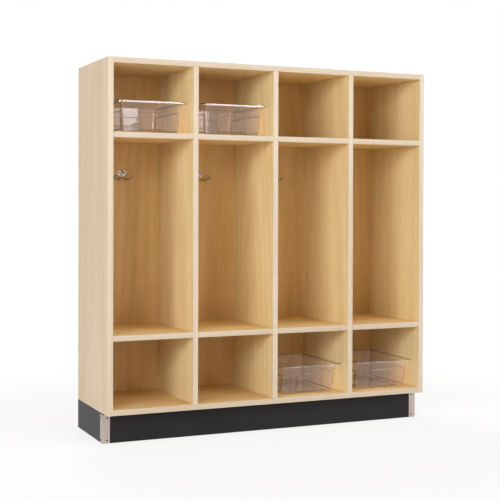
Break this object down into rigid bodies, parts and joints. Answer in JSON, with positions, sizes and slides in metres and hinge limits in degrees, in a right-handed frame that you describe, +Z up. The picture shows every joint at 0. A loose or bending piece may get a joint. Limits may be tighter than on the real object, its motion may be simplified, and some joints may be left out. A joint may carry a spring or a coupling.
{
  "type": "backpack locker",
  "caption": "Open wood locker in equal columns, each with an upper cubby, a tall bay with a coat hook and a lower cubby, with clear pull-out bins, on a recessed black base.",
  "frame": {"origin": "on the floor under the middle of the locker", "axes": "+X to the right seen from the front, +Y to the rear, +Z up; the open front faces -Y"},
  "size_m": [1.2254, 0.381, 1.2954],
  "materials": {
    "maple_panel": "satin maple laminate",
    "maple_edge": "satin clear-coated maple strip",
    "dowel_beech": "raw beech",
    "base_frame_wood": "raw plywood",
    "base_black": "matte black cover",
    "guard_metal": "satin",
    "screw_steel": "zinc plated",
    "hook_nickel": "bright nickel",
    "clear_plastic": "clear, faintly warm"
  },
  "bodies": {
    "locker": {"back_panel": "maple_panel", "back_screws": "screw_steel", "base_cleat_screws": "screw_steel", "base_cross_rail_1": "base_frame_wood", "base_cross_rail_2": "base_frame_wood", "base_dowels": "dowel_beech", "base_front_cover": "base_black", "base_front_rail": "base_frame_wood", "base_left_cleat": "base_frame_wood", "base_left_cover": "base_black", "base_left_rail": "base_frame_wood", "base_rear_rail": "base_frame_wood", "base_right_cleat": "base_frame_wood", "base_right_cover": "base_black", "base_right_rail": "base_frame_wood", "bottom_edge_band": "maple_edge", "bottom_panel": "maple_panel", "carcase_dowels": "dowel_beech", "corner_guard_screws": "screw_steel", "divider_1": "maple_panel", "divider_1_edge_band": "maple_edge", "divider_2": "maple_panel", "divider_2_edge_band": "maple_edge", "divider_3": "maple_panel", "divider_3_edge_band": "maple_edge", "front_left_corner_guard": "guard_metal", "front_right_corner_guard": "guard_metal", "hook_1": "hook_nickel", "hook_2": "hook_nickel", "hook_3": "hook_nickel", "hook_4": "hook_nickel", "hook_screws": "screw_steel", "left_side_edge_band": "maple_edge", "left_side_panel": "maple_panel", "lower_shelf_1": "maple_panel", "lower_shelf_1_edge_band": "maple_edge", "lower_shelf_2": "maple_panel", "lower_shelf_2_edge_band": "maple_edge", "lower_shelf_3": "maple_panel", "lower_shelf_3_edge_band": "maple_edge", "lower_shelf_4": "maple_panel", "lower_shelf_4_edge_band": "maple_edge", "right_side_edge_band": "maple_edge", "right_side_panel": "maple_panel", "top_edge_band": "maple_edge", "top_panel": "maple_panel", "upper_shelf_1": "maple_panel", "upper_shelf_1_edge_band": "maple_edge", "upper_shelf_2": "maple_panel", "upper_shelf_2_edge_band": "maple_edge", "upper_shelf_3": "maple_panel", "upper_shelf_3_edge_band": "maple_edge", "upper_shelf_4": "maple_panel", "upper_shelf_4_edge_band": "maple_edge"},
    "bin_1": {"bin_1": "clear_plastic"},
    "bin_2": {"bin_2": "clear_plastic"},
    "bin_3": {"bin_3": "clear_plastic"},
    "bin_4": {"bin_4": "clear_plastic"}
  },
  "joints": [
    {"name": "bin_1_slide", "type": "slide", "parent": "locker", "child": "bin_1", "axis": [0, -1, 0], "range_m": [0, 0.16]},
    {"name": "bin_2_slide", "type": "slide", "parent": "locker", "child": "bin_2", "axis": [0, -1, 0], "range_m": [0, 0.16]},
    {"name": "bin_3_slide", "type": "slide", "parent": "locker", "child": "bin_3", "axis": [0, -1, 0], "range_m": [0, 0.16]},
    {"name": "bin_4_slide", "type": "slide", "parent": "locker", "child": "bin_4", "axis": [0, -1, 0], "range_m": [0, 0.16]}
  ]
}
